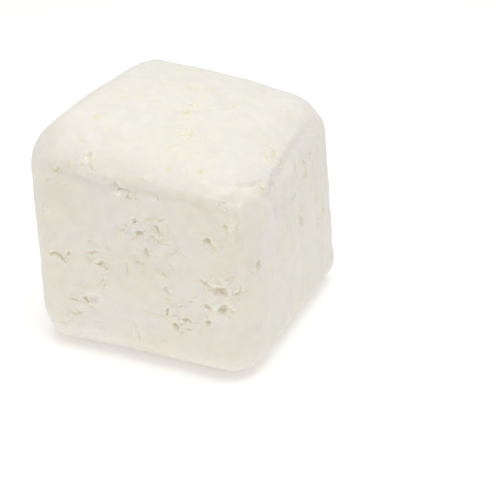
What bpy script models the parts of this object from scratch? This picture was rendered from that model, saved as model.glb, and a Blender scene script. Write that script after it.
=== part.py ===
"""Brynza cheese: one uncut block of pressed and brined curd, about 100 mm on each side.

+X runs along the front face, +Y runs to the back and +Z is up. The origin is under the middle of
the block's box, on the flat face that it rests on. Sizes are in millimetres, and the mesh is in
metres. The block is a box with soft corners of unequal size, pushed out of square by pressing. Its
relief is the lip that the mould left, the gaps between the curds, and the drag marks of the cloth.
"""
import math
import random
from typing import NamedTuple

import bmesh
import bpy
import numpy as np
from mathutils import noise

MM = 0.001

# Overall size and build
BLOCK_SIZE = np.array((99.0, 102.0, 91.0))
CELLS_PER_SIDE = 110
TRIANGLE_SHARE = 0.078
REST_FACE_HEIGHT = 0.03
SEED = 7

# Corners in the order of CORNER_SIDES: roundness, and how far each was pushed in the press
CORNER_SIDES = np.array([
    (-1, -1, -1), (1, -1, -1), (1, 1, -1), (-1, 1, -1),
    (-1, -1, 1), (1, -1, 1), (1, 1, 1), (-1, 1, 1),
], float)
CORNER_RADII = np.array((14.5, 14.5, 12.5, 12.5, 22.5, 15.0, 16.5, 21.0))
CORNER_PUSH = np.array([
    (3.5, -1.0, 0.0), (0.0, 2.5, 0.0), (0.5, 0.5, 0.0), (0.0, -0.5, 0.0),
    (-3.5, 1.5, 6.5), (2.5, -2.0, -5.5), (-5.0, -3.0, -3.0), (2.5, 2.5, 2.5),
])

# How far each face swells in its middle: (low side, high side) along X, Y and Z
SWELL = ((2.6, 1.4), (2.1, 1.1), (0.0, 6.5))

# Uneven pressing: (distance between swells, height)
LUMPS = ((32.0, 0.7), (13.0, 0.35))

# Lips: how fast one fades at its ends, and (distance between swells, share) of its unevenness
LIP_FADE = 18.0
LIP_UNEVENNESS = (11.0, 0.5)

# Drag marks of the cloth down the right face
DRAG_SPACING = 5.0
DRAG_LENGTH = 60.0
DRAG_HEIGHT = 0.45
DRAG_BEND = 9.0
DRAG_BEND_FROM = 62.0
DRAG_BEND_OVER = 20.0

# Ragged outline of the marks: (distance between jags, size of a jag)
JAGS = ((5.0, 0.9), (2.2, 0.7))
SOFT_JAG_SHARE = 0.35

# Depth of the gaps, as a share of the depths listed below
GAP_DEPTH = 0.62

# Marks that are not listed one by one: length, width as a share of it, and depth as a share of the most
SCATTERED_LENGTH = (2.6, 7.0)
SCATTERED_WIDTH = (0.3, 0.6)
SCATTERED_DEPTH = (0.4, 1.0)
SIDE_MARKS = 15
SIDE_MARKS_BOX = ((-40, 12), (40, 82))
SIDE_MARK_DEPTH = 1.8
UNDERSIDE_MARKS = 6
UNDERSIDE_MARKS_BOX = ((-34, -34), (34, 34))
UNDERSIDE_MARK_DEPTH = 1.2
REST_SPOT_RADIUS = 12.0

# How far the surface must face a side before something shows there: (share at none, share to full)
UNDERSIDE_FACING = (0.55, 0.4)
DRAG_FACING = (0.5, 0.3)
MARK_FACING = (0.3, 0.2)
LIP_FACING = (0.0, 0.35)

# Curd: warm off-white, satin
CURD_COLOUR = (0.880, 0.855, 0.775, 1.0)
CURD_ROUGHNESS = 0.5
SHARP_ANGLE = math.radians(50)


class Mark(NamedTuple):
    """A hollow in a face, or a raised place where depth is negative, at (across, up) on the face."""
    across: float
    up: float
    length: float
    width: float
    depth: float
    turn: float = 0.0
    bend: float = 0.0
    wall: float = 0.75


class Lip(NamedTuple):
    """What the mould left along the top of a face: a raised edge, with a shallow hollow under it.

    The line holds (across, up) of the step between the two.
    """
    line: tuple
    rise: float
    reach: float
    step: float
    hollow_depth: float
    hollow_width: float


class Crease(NamedTuple):
    """A narrow fold in a face, along (across, up) points."""
    line: tuple
    width: float
    depth: float


FRONT_LIP = Lip(
    ((-41, 82), (-30, 83.2), (-22, 82.8), (-15, 81.2), (-8, 81.3), (0, 81.6), (6, 82), (14, 81.4),
     (22, 81), (29, 80.6), (35, 79.6), (41, 78.5), (48, 77)),
    rise=1.8, reach=12.0, step=4.6, hollow_depth=0.5, hollow_width=7.0,
)
RIGHT_LIP = Lip(
    ((-46, 79.6), (-36, 80), (-27, 80.8), (-18, 81.6), (-10, 82.3), (-2, 83), (6, 83.4), (17, 83.5),
     (38, 83)),
    rise=1.1, reach=8.0, step=4.0, hollow_depth=0.25, hollow_width=6.0,
)
FRONT_CREASES = (
    Crease(((37, 80), (38.5, 80.9), (40, 81.5), (42.5, 81.6)), 2.8, 0.25),
    Crease(((43.6, 78), (44.4, 75), (44.7, 71), (44.8, 67)), 2.8, 0.3),
)
TOP_CREASES = (
    # where the lip folded over, round the front right corner
    Crease(((32, -45.6), (35, -44.4), (38, -43.6), (41, -41.8)), 3.0, 0.2),
    Crease(((41, -41.8), (42.8, -40.4), (44.6, -37), (46, -32)), 3.0, 0.5),
)

# Front face: across is X, up is Z
FRONT_GAPS = (
    # upper middle cluster
    Mark(4.5, 63.0, 4.6, 2.8, 2.0, 10), Mark(12.0, 66.0, 5.2, 2.6, 2.0, -60),
    Mark(3.0, 67.5, 3.8, 2.2, 1.5, 70), Mark(-2.5, 63.0, 4.0, 1.9, 1, 75),
    Mark(9.0, 70.0, 7.0, 1.6, 0.7, 28), Mark(14.5, 61.5, 5.5, 1.5, 0.8, 25, 0.6),
    Mark(17.0, 68.0, 6.5, 1.5, 0.6, -72), Mark(7.5, 55.5, 5.6, 3.2, 1.7, -78),
    Mark(4.5, 49.5, 4.8, 2.2, 0.8, 0, 0.5), Mark(20.0, 58.0, 5.0, 1.4, 0.7, 65),
    # left cluster
    Mark(-33.0, 43.0, 9.5, 2.4, 2.0, -16, 1.4), Mark(-27.5, 46.5, 3.2, 1.9, 1, 25),
    Mark(-16.0, 50.0, 6.6, 1.5, 0.8, 12), Mark(-13.0, 46.0, 4.0, 2.8, 1.7, 15),
    Mark(-11.0, 44.0, 2.8, 2.0, 0.9, -60), Mark(-12.5, 37.5, 7.5, 1.6, 0.8, 38),
    Mark(-17.5, 54.0, 2.8, 1.6, 0.7, 45), Mark(-9.0, 53.0, 3.6, 1.5, 0.7, -80),
    # lower left
    Mark(-20.0, 27.5, 4.4, 2.2, 1.5, -80), Mark(-26.0, 25.5, 7.0, 1.5, 0.8, -8),
    Mark(-24.5, 20.0, 6.5, 1.5, 0.8, 25), Mark(-32.0, 12.5, 2.8, 1.8, 0.7, -40),
    # right of the middle
    Mark(33.0, 65.5, 5.0, 3.0, 1.8, -12), Mark(36.5, 63.0, 3.8, 1.4, 0.7, -45),
    Mark(40.5, 72.5, 4.4, 1.8, 1, -80), Mark(14.5, 47.0, 6.0, 1.6, 0.8, -28),
    # lower right
    Mark(31.5, 47.0, 6.5, 1.7, 1, -24), Mark(37.5, 44.0, 6.5, 4.4, 2.6, -12),
    Mark(39.0, 36.0, 6.5, 4.8, 2.8, 62), Mark(33.0, 36.0, 5.0, 2.0, 1, -18),
    Mark(32.5, 28.5, 3.6, 3.0, 1.9, 0), Mark(15.5, 30.0, 5.0, 2.0, 1.6, 60),
    Mark(18.5, 24.0, 5.0, 3.0, 2.1, -75), Mark(23.5, 27.5, 4.8, 2.3, 1.7, -12),
    Mark(24.0, 23.5, 2.4, 2.0, 1, 0), Mark(21.5, 34.0, 3.2, 1.6, 0.8, 25),
    # top edge and the lip
    Mark(-32.5, 81.5, 5.4, 2.0, 0.8, 5), Mark(-26.5, 84.0, 4.4, 1.5, 0.6, -58),
    Mark(-18.5, 87.5, 3.0, 2.4, 1, -50), Mark(0.5, 77.0, 3.0, 2.2, 1, 30),
    Mark(12.5, 79.0, 4.0, 1.4, 0.7, -72), Mark(45.0, 43.5, 3.0, 2.0, 1, 0),
)
FRONT_HOLLOWS = (
    # the dented upper left, and a hollow at the lower left
    Mark(-35.0, 74.5, 26.0, 14.0, 1.0, 35, 0.0, 1.0), Mark(-16.5, 29.0, 8.0, 6.0, 0.9, 10, 0.0, 0.9),
    # two upright scratches
    Mark(-1.5, 45.5, 9.5, 2.2, 0.7, -86, 0.0, 0.9), Mark(2.0, 14.5, 8.0, 2.0, 0.7, -86, 0.0, 0.9),
)
FRONT_RISES = (
    # curds that stand proud
    Mark(-4.5, 77.5, 5.0, 5.0, -0.9, 80, 0.0, 0.9), Mark(43.0, 73.5, 8.0, 3.4, -0.7, 70, 0.0, 0.9),
    Mark(0.0, 18.0, 9.0, 2.0, -0.7, 86, 0.0, 0.9), Mark(-5.0, 49.0, 4.6, 3.4, -0.5, 0, 0.0, 0.9),
    Mark(35.0, 50.0, 4.0, 2.0, -0.6, 80, 0.0, 0.9), Mark(-36.0, 63.5, 9.0, 3.4, -0.6, 38, 0.0, 0.9),
)

# Top face: across is X, up is Y
TOP_GAPS = (
    Mark(-2.0, 8.5, 11.0, 2.0, 1.0, -26, 0.8), Mark(4.0, 11.5, 7.5, 1.5, 0.9, -78),
    Mark(6.0, -5.5, 4.0, 2.4, 1.5, -68), Mark(5.5, -11.5, 6.0, 3.6, 1.1, -40),
    Mark(19.5, 5.5, 5.0, 2.0, 1.0, 72), Mark(12.0, -27.0, 5.0, 1.5, 1.0, 28),
    Mark(14.0, -24.0, 5.2, 1.5, 1.0, -70), Mark(-24.0, -30.5, 4.2, 3.0, 0.9, 20),
    Mark(-21.0, -12.0, 3.8, 2.0, 0.8, 60), Mark(-16.0, 8.0, 5.4, 1.4, 0.7, -62),
    Mark(43.0, -12.0, 3.4, 2.0, 1.1, -80), Mark(42.5, -18.0, 3.4, 1.8, 1.0, 0),
    Mark(27.0, -43.0, 2.8, 2.0, 0.9, 0), Mark(-24.0, -42.5, 5.4, 1.7, 0.8, -5),
)

# Right face: across is Y, up is Z
RIGHT_GAPS = (
    Mark(6.0, 73.0, 7.4, 2.8, 1.3, -80), Mark(-7.0, 66.5, 5.6, 2.4, 1.1, -80),
    Mark(-1.5, 53.0, 5.6, 3.8, 1.6, -70), Mark(27.0, 43.5, 3.8, 3.0, 1.1, -60),
    Mark(37.0, 37.5, 3.8, 2.6, 1.0, -60), Mark(-42.5, 54.0, 4.0, 2.0, 1.2, -86),
    Mark(22.0, 40.0, 3.4, 1.8, 0.8, -76), Mark(17.0, 57.0, 3.0, 1.6, 0.7, -60),
    Mark(-33.5, 81.5, 4.0, 2.0, 1.5, -10), Mark(-12.5, 82.5, 5.4, 1.6, 1.0, 5),
)


def ramp(values):
    """Smooth step from 0 to 1."""
    t = np.clip(values, 0.0, 1.0)
    return t * t * (3.0 - 2.0 * t)


def facing(share, limits):
    """How much shows, from 0 to 1, where the surface faces a side by this share."""
    none, full = limits
    return ramp((share - none) / full)


def noise_field(places, spacing, channel):
    """Smooth noise from about -1 to 1, with its swells about spacing apart."""
    start = np.array((SEED + 31.7 * channel, 12.9 * channel, 7.3 * channel))
    return np.array([noise.noise(q) for q in (places / spacing + start).tolist()])


def corner_blend(unit, corner_values):
    """Values between the eight corners, at places in the cube from -1 to 1."""
    shares = np.prod((1.0 + unit[:, None, :] * CORNER_SIDES[None]) / 2.0, axis=2)
    return shares @ corner_values


def block_form(unit):
    """Places on the smooth block, and the way out of it, for places on the cube from -1 to 1."""
    half = BLOCK_SIZE / 2.0
    radii = corner_blend(unit, CORNER_RADII)[:, None]
    core = np.clip(unit * half, radii - half, half - radii)
    out = unit * half - core
    out /= np.linalg.norm(out, axis=1, keepdims=True)
    places = core + radii * out
    share = places / half
    for axis in range(3):
        one, other = (k for k in range(3) if k != axis)
        dome = np.clip(1.0 - share[:, one] ** 2, 0, 1) * np.clip(1.0 - share[:, other] ** 2, 0, 1)
        for side, swell in zip((-1.0, 1.0), SWELL[axis]):
            places[:, axis] += side * swell * dome * np.clip(side * share[:, axis], 0, 1)
    places += corner_blend(share, CORNER_PUSH)
    places[:, 2] += half[2]
    return places, out


def mark_depth(spots, mark):
    """Depth that one mark has at spots (across, up) on its face."""
    turn = math.radians(mark.turn)
    across = spots[:, 0] - mark.across
    up = spots[:, 1] - mark.up
    along = (across * math.cos(turn) + up * math.sin(turn)) * 2.0 / mark.length
    aside = up * math.cos(turn) - across * math.sin(turn) - mark.bend * (1.0 - along**2)
    reach = np.hypot(along, aside * 2.0 / mark.width)
    return mark.depth * ramp((1.0 - reach) / mark.wall)


def crease_depth(spots, crease):
    """Depth that one crease has at spots (across, up) on its face."""
    away = np.full(len(spots), np.inf)
    points = np.array(crease.line, float)
    for start, end in zip(points[:-1], points[1:]):
        run = end - start
        share = np.clip((spots - start) @ run / (run @ run), 0.0, 1.0)
        away = np.minimum(away, np.linalg.norm(spots - start - share[:, None] * run, axis=1))
    return crease.depth * ramp(1.0 - away * 2.0 / crease.width)


def lip_height(spots, lip):
    """Height of the lip and, below its step, of the hollow at spots (across, up)."""
    across, up = np.array(lip.line, float).T
    above = spots[:, 1] - np.interp(spots[:, 0], across, up)
    step = ramp(0.5 + above / lip.step)
    rise = lip.rise * step * np.sqrt(np.clip(1.0 - above / lip.reach, 0.0, 1.0))
    fall = lip.hollow_depth * (1.0 - step) * ramp(1.0 + above / lip.hollow_width)
    along = np.zeros((len(spots), 3))
    along[:, 0] = spots[:, 0]
    fullness = 1.0 + LIP_UNEVENNESS[1] * noise_field(along, LIP_UNEVENNESS[0], 13)
    fade = ramp((spots[:, 0] - across[0]) / LIP_FADE) * ramp((across[-1] - spots[:, 0]) / LIP_FADE)
    return (rise - fall) * fullness * fade


def scattered_marks(draw, low, high, count, deepest):
    """Marks at random places in the box from low to high, with one size for each draw."""
    marks = []
    for _ in range(count):
        length = draw.uniform(*SCATTERED_LENGTH)
        width = draw.uniform(*SCATTERED_WIDTH) * length
        spot = (draw.uniform(low[0], high[0]), draw.uniform(low[1], high[1]))
        depth = draw.uniform(*SCATTERED_DEPTH) * deepest
        marks.append(Mark(*spot, length, width, depth, draw.uniform(-90, 90)))
    return marks


def face_marks():
    """What each face has: (axis, side, axes of across and up, gaps, hollows and rises, creases, lips)."""
    draw = random.Random(SEED)
    left = scattered_marks(draw, *SIDE_MARKS_BOX, SIDE_MARKS, SIDE_MARK_DEPTH)
    back = scattered_marks(draw, *SIDE_MARKS_BOX, SIDE_MARKS, SIDE_MARK_DEPTH)
    under = [
        mark
        for mark in scattered_marks(draw, *UNDERSIDE_MARKS_BOX, UNDERSIDE_MARKS, UNDERSIDE_MARK_DEPTH)
        if math.hypot(mark.across, mark.up) > REST_SPOT_RADIUS
    ]
    return (
        (1, -1, (0, 2), FRONT_GAPS, FRONT_HOLLOWS + FRONT_RISES, FRONT_CREASES, (FRONT_LIP,)),
        (2, 1, (0, 1), TOP_GAPS, (), TOP_CREASES, ()),
        (0, 1, (1, 2), RIGHT_GAPS, (), (), (RIGHT_LIP,)),
        (0, -1, (1, 2), left, (), (), ()),
        (1, 1, (0, 2), back, (), (), ()),
        (2, -1, (0, 1), under, (), (), ()),
    )


def relief(places, out):
    """Height to add along the way out: lumps, drag marks and lips, less the gaps and creases."""
    flat_below = 1.0 - facing(-out[:, 2], UNDERSIDE_FACING)
    height = np.zeros(len(places))
    for channel, (spacing, size) in enumerate(LUMPS):
        height += size * noise_field(places, spacing, channel) * flat_below
    stretched = places * np.array((1.0, 1.0, DRAG_SPACING / DRAG_LENGTH))
    stretched[:, 1] += DRAG_BEND * np.clip((places[:, 2] - DRAG_BEND_FROM) / DRAG_BEND_OVER, 0, 2) ** 2
    height += DRAG_HEIGHT * noise_field(stretched, DRAG_SPACING, 4) * facing(out[:, 0], DRAG_FACING)

    jags = np.zeros_like(places)
    for step, (spacing, size) in enumerate(JAGS):
        for axis in range(3):
            jags[:, axis] += size * noise_field(places, spacing, 5 + 3 * step + axis)
    for axis, side, spot_axes, gaps, soft, creases, lips in face_marks():
        shown = facing(side * out[:, axis], MARK_FACING)
        near = np.flatnonzero(shown)
        spots = (places + jags)[near][:, spot_axes]
        soft_spots = (places + SOFT_JAG_SHARE * jags)[near][:, spot_axes]
        depth = np.zeros(len(near))
        for mark in gaps:
            depth = np.maximum(depth, GAP_DEPTH * mark_depth(spots, mark))
        for crease in creases:
            depth = np.maximum(depth, crease_depth(soft_spots, crease))
        for mark in soft:
            depth += mark_depth(soft_spots, mark)
        height[near] -= depth * shown[near]
        shown = facing(side * out[:, axis], LIP_FACING)
        near = np.flatnonzero(shown)
        soft_spots = (places + SOFT_JAG_SHARE * jags)[near][:, spot_axes]
        for lip in lips:
            height[near] += lip_height(soft_spots, lip) * shown[near]
    return height


def block_mesh():
    """The block as a fine even grid of quads, in metres."""
    grid = bmesh.new()
    bmesh.ops.create_cube(grid, size=2.0)
    bmesh.ops.subdivide_edges(grid, edges=grid.edges[:], cuts=CELLS_PER_SIDE - 1, use_grid_fill=True)
    mesh = bpy.data.meshes.new("brynza_block")
    grid.to_mesh(mesh)
    grid.free()
    unit = np.empty(len(mesh.vertices) * 3)
    mesh.vertices.foreach_get("co", unit)
    unit = unit.reshape(-1, 3)
    places, out = block_form(unit)
    places += out * relief(places, out)[:, None]
    mesh.vertices.foreach_set("co", (places * MM).ravel())
    return mesh


def reduced(block):
    """The block's mesh with far fewer triangles, which keeps the gaps and opens no edge."""
    fewer = block.modifiers.new("fewer faces", "DECIMATE")
    fewer.ratio = TRIANGLE_SHARE
    fewer.use_collapse_triangulate = True
    evaluated = block.evaluated_get(bpy.context.evaluated_depsgraph_get())
    mesh = bpy.data.meshes.new_from_object(evaluated)
    block.modifiers.remove(fewer)
    return mesh


def settle(mesh):
    """Stands the mesh on one flat face, with the middle of its box over the origin."""
    places = np.empty(len(mesh.vertices) * 3)
    mesh.vertices.foreach_get("co", places)
    places = places.reshape(-1, 3)
    places[:, 2] = np.where(places[:, 2] < REST_FACE_HEIGHT * MM, 0.0, places[:, 2])
    places[:, :2] -= (places[:, :2].min(axis=0) + places[:, :2].max(axis=0)) / 2.0
    mesh.vertices.foreach_set("co", places.ravel())
    mesh.update()


def curd_material():
    """Pressed curd: a satin, slightly warm white."""
    material = bpy.data.materials.new("pressed_curd")
    material.use_nodes = True
    shader = material.node_tree.nodes["Principled BSDF"]
    shader.inputs["Base Color"].default_value = CURD_COLOUR
    shader.inputs["Roughness"].default_value = CURD_ROUGHNESS
    shader.inputs["Metallic"].default_value = 0.0
    return material


def main():
    for item in list(bpy.data.objects):
        bpy.data.objects.remove(item)
    block = bpy.data.objects.new("brynza_block", block_mesh())
    bpy.context.collection.objects.link(block)
    block.data = reduced(block)
    settle(block.data)
    block.data.materials.append(curd_material())
    block.data.shade_smooth()
    block.data.set_sharp_from_angle(angle=SHARP_ANGLE)


main()
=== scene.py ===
"""Brynza cheese block: the surface of the pressed curd, its crumbs, the stage and the camera.

The form of the block and its marks are worked out in millimetres, and everything else is in metres.
"""
import math
import random
from typing import NamedTuple

import bpy
import numpy as np
from bpy.props import FloatProperty, FloatVectorProperty, IntProperty, PointerProperty
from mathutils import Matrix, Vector, noise


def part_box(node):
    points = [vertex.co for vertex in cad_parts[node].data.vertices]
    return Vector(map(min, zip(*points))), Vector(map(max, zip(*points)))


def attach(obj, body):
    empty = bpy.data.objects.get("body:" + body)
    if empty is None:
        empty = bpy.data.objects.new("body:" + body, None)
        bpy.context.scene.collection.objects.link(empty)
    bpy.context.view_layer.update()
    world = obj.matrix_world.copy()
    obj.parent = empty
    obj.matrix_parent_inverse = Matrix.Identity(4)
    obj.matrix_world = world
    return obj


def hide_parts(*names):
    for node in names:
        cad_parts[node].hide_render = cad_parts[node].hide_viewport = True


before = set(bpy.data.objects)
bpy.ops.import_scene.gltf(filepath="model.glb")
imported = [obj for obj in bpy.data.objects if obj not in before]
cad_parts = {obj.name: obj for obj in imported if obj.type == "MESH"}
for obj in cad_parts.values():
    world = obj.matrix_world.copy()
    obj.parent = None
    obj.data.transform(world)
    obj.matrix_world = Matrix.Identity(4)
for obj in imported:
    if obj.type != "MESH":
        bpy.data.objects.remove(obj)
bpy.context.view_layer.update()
BLOCK_LOW, BLOCK_HIGH = (Vector(corner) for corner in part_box("brynza_block"))

bl_info = {
    "name": "Brynza cheese block",
    "version": (1, 0, 0),
    "blender": (4, 5, 0),
    "location": "3D View > Sidebar > Brynza",
    "description": "Builds an uncut block of brined brynza cheese with its curd gaps and crumbs",
    "category": "Object",
}

MM = 0.001

# Corners in the order of CORNER_SIDES: roundness, and how far each was pushed in the press
CORNER_SIDES = np.array([
    (-1, -1, -1), (1, -1, -1), (1, 1, -1), (-1, 1, -1),
    (-1, -1, 1), (1, -1, 1), (1, 1, 1), (-1, 1, 1),
], float)
CORNER_RADII = np.array((14.5, 14.5, 12.5, 12.5, 22.5, 15.0, 16.5, 21.0))
CORNER_PUSH = np.array([
    (3.5, -1.0, 0.0), (0.0, 2.5, 0.0), (0.5, 0.5, 0.0), (0.0, -0.5, 0.0),
    (-3.5, 1.5, 6.5), (2.5, -2.0, -5.5), (-5.0, -3.0, -3.0), (2.5, 2.5, 2.5),
])

# How far each face swells in its middle: (low side, high side) along X, Y and Z
SWELL = ((2.6, 1.4), (2.1, 1.1), (0.0, 6.5))

# Uneven pressing: (distance between swells, height)
LUMPS = ((32.0, 0.7), (13.0, 0.35))

# Finer unevenness, less of it where a board pressed the top
FINE_LUMPS = ((6.5, 0.34), (2.8, 0.10))
TOP_FINE_SHARE = 0.5

# Lips: how fast one fades at its ends, and (distance between swells, share) of its unevenness
LIP_FADE = 18.0
LIP_UNEVENNESS = (11.0, 0.5)

# Noise: how far apart its channels are, and the first channel of each pattern that isn't a swell
CHANNEL_STEP = np.array((31.7, 12.9, 7.3))
DRAG_CHANNEL = 4
JAG_CHANNEL = 5
LIP_CHANNEL = 13
RIM_CHANNEL = 20
FINE_CHANNEL = 25

# Drag marks of the cloth down the right face
DRAG_SPACING = 5.0
DRAG_LENGTH = 60.0
DRAG_HEIGHT = 0.45
DRAG_BEND = 9.0
DRAG_BEND_FROM = 62.0
DRAG_BEND_OVER = 20.0

# Ragged outline of the marks: (distance between jags, size of a jag)
JAGS = ((5.0, 0.9), (2.2, 0.7))
SOFT_JAG_SHARE = 0.35

# Finer raggedness that only the dense mesh can hold
FINE_JAGS = ((1.2, 0.45), (0.6, 0.15))

# Places where a crumb broke out round each gap: how many, and how far past the gap's half width
SATELLITES = 2
SATELLITE_REACH = (1.5, 4.5)
SATELLITE_LENGTH = (0.9, 2.6)
SATELLITE_WIDTH = (0.4, 0.7)
SATELLITE_DEPTH = (0.12, 0.4)
SATELLITE_WALL = 0.8

# Thin cracks that run out of each gap: how many, their sizes, where the middle of one is in shares of
# its length, and how far one turns in degrees and bends
CRACKS = 2
CRACK_WIDTH = 0.9
CRACK_LENGTH = (2.0, 6.0)
CRACK_DEPTH = (0.25, 0.55)
CRACK_MIDDLE = 0.45
CRACK_TURN = 25
CRACK_BEND = 0.6
CRACK_WALL = 0.9

# Raised rim of a gap: height as a share of its depth, and where it stands, in shares of the gap
RIM_HEIGHT = 0.22
RIM_AT = 1.3
RIM_REACH = 0.5
RIM_SPACING = 3.0
RIM_CLEAR = 0.15

# Reach of the crumbly zone round a gap, and the depth at which a gap is at its roughest
CRUMBLY_REACH = 4.5
DEEP_GAP = 2.0

# Painted shade in a gap, a warm yellow grey that stands in for its shade and warm bounce light: how
# strongly on a side, on the right and on the top, the depth that holds it in full, and where it ends, in
# shares of the gap
SIDE_SHADE = 0.52
RIGHT_SHADE = 0.4
TOP_SHADE = 0.9
SHADE_DEPTH = 0.7
SHADE_EDGE = 1.25
SHADE_SOFTNESS = 0.9

# Seams between curds that were pressed shut: their width and depth, and how much painted shade they get
SEAM_WIDTH = 1.3
SEAM_DEPTH = 0.24
SEAM_SHADE = 0.7

# Seams that are not listed one by one: how many on a side, their steps, the length and turn of a step
SIDE_SEAMS = 16
SEAM_STEPS = 3
SEAM_STEP = (1.0, 2.8)
SEAM_TURN = 0.9

# The top was pressed under a board, so its gaps are shallow and wide: shares of depth and width
TOP_DEPTH = 0.75
TOP_WIDTH = 1.25
TOP_WALL = 1.0

# Marks that are not listed one by one: length, width as a share of it, depth as a share of the most
SCATTERED_LENGTH = (2.6, 7.0)
SCATTERED_WIDTH = (0.3, 0.6)
SCATTERED_DEPTH = (0.4, 1.0)
SIDE_MARKS = 15
SIDE_MARKS_BOX = ((-40, 12), (40, 82))
SIDE_MARK_DEPTH = 1.8
UNDERSIDE_MARKS = 6
UNDERSIDE_MARKS_BOX = ((-34, -34), (34, 34))
UNDERSIDE_MARK_DEPTH = 1.2
REST_SPOT_RADIUS = 12.0

# How far the surface must face a side before something shows there: (share at none, share to full)
UNDERSIDE_FACING = (0.55, 0.4)
DRAG_FACING = (0.5, 0.3)
MARK_FACING = (0.3, 0.2)
LIP_FACING = (0.0, 0.35)

# Grid of the fine mesh: each face of the cube is halved this many times
GRID_HALVINGS = 8
SURFACE_TRIANGLES = 190000

# Loose curd: sizes of its patches and curds in metres, where a patch starts and is full, and how much
# looser and more broken it is near a gap
LOOSE_PATCH = 0.0075
CURD_WARP = 0.0045
CURD_BULGE_WIDTH = 0.0014
LOOSE_FROM = 0.62
LOOSE_TO = 0.74
LOOSER_NEAR_GAP = 0.14
BROKEN_NEAR_GAP = 0.6
# painted shade along the seams of the loose curd
LOOSE_SEAM_SHADE = 0.3
DRAG_STRETCH = (1.0, 1.0, 0.07)
NOISE_MIDDLE = 0.5

# Crumbs: how crumbly the curd must be for a few and for all of them, a crumb's width in half widths,
# and how many of its bumps a metre would hold
CRUMBS_FROM = 0.45
CRUMBS_TO = 0.95
CRUMB_WIDTH = 1.4
CRUMB_BUMPS = 1500.0

# Surface of the curd in metres: denser patches, mottling, and the cloth's grit with its height
PATCH_SIZE = 0.028
MOTTLE_SIZE = 0.0045
GRIT_SIZE = 0.0009
GRIT_HEIGHT = 0.00012

# Mottling: its range of tone and of roughness. Red light sinks deepest into the curd, and blue least.
MOTTLE_TONE = (0.973, 1.021)
MOTTLE_ROUGHNESS = (0.48, 0.64)
CURD_IOR = 1.40
LIGHT_SPREAD = (1.0, 0.85, 0.6)

# Soft lamp above, and the warm card in front that faces the block
OVERHEAD_SIZE = 0.9
OVERHEAD_PLACE = (0.09, -0.06, 0.9)
CARD_SIZE = (0.8, 0.5)
CARD_PLACE = (-0.35, -1.1, 0.35)
CARD_FACES = (0.0, 0.0, 0.05)
SENSOR_WIDTH = 36.0


class Mark(NamedTuple):
    """A hollow in a face, or a raised place where depth is negative, at (across, up) on the face."""
    across: float
    up: float
    length: float
    width: float
    depth: float
    turn: float = 0.0
    bend: float = 0.0
    wall: float = 0.75


class Lip(NamedTuple):
    """What the mould left along the top of a face: a raised edge, with a shallow hollow under it.

    The line holds (across, up) of the step between the two.
    """
    line: tuple
    rise: float
    reach: float
    step: float
    hollow_depth: float
    hollow_width: float


class Crease(NamedTuple):
    """A narrow fold in a face, along (across, up) points."""
    line: tuple
    width: float
    depth: float


class Face(NamedTuple):
    """One face: the axis and side it looks to, the axes of its (across, up) spots, and what is on it.

    Shade strength is how strongly painted shade darkens and yellows its gaps.
    """
    axis: int
    side: int
    spot_axes: tuple
    shade_strength: float
    gaps: tuple
    soft: tuple = ()
    creases: tuple = ()
    seams: tuple = ()
    lips: tuple = ()


FRONT_LIP = Lip(
    ((-41, 82), (-30, 83.2), (-22, 82.8), (-15, 81.2), (-8, 81.3), (0, 81.6), (6, 82), (14, 81.4),
     (22, 81), (29, 80.6), (35, 79.6), (41, 78.5), (48, 77)),
    rise=1.8, reach=12.0, step=4.6, hollow_depth=0.5, hollow_width=7.0,
)
RIGHT_LIP = Lip(
    ((-46, 79.6), (-36, 80), (-27, 80.8), (-18, 81.6), (-10, 82.3), (-2, 83), (6, 83.4), (17, 83.5),
     (38, 83)),
    rise=1.1, reach=8.0, step=4.0, hollow_depth=0.25, hollow_width=6.0,
)
FRONT_CREASES = (
    Crease(((37, 80), (38.5, 80.9), (40, 81.5), (42.5, 81.6)), 2.8, 0.25),
    Crease(((43.6, 78), (44.4, 75), (44.7, 71), (44.8, 67)), 2.8, 0.3),
)
TOP_CREASES = (
    # where the lip folded over, round the front right corner
    Crease(((32, -45.6), (35, -44.4), (38, -43.6), (41, -41.8)), 3.0, 0.2),
    Crease(((41, -41.8), (42.8, -40.4), (44.6, -37), (46, -32)), 3.0, 0.5),
)

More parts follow.
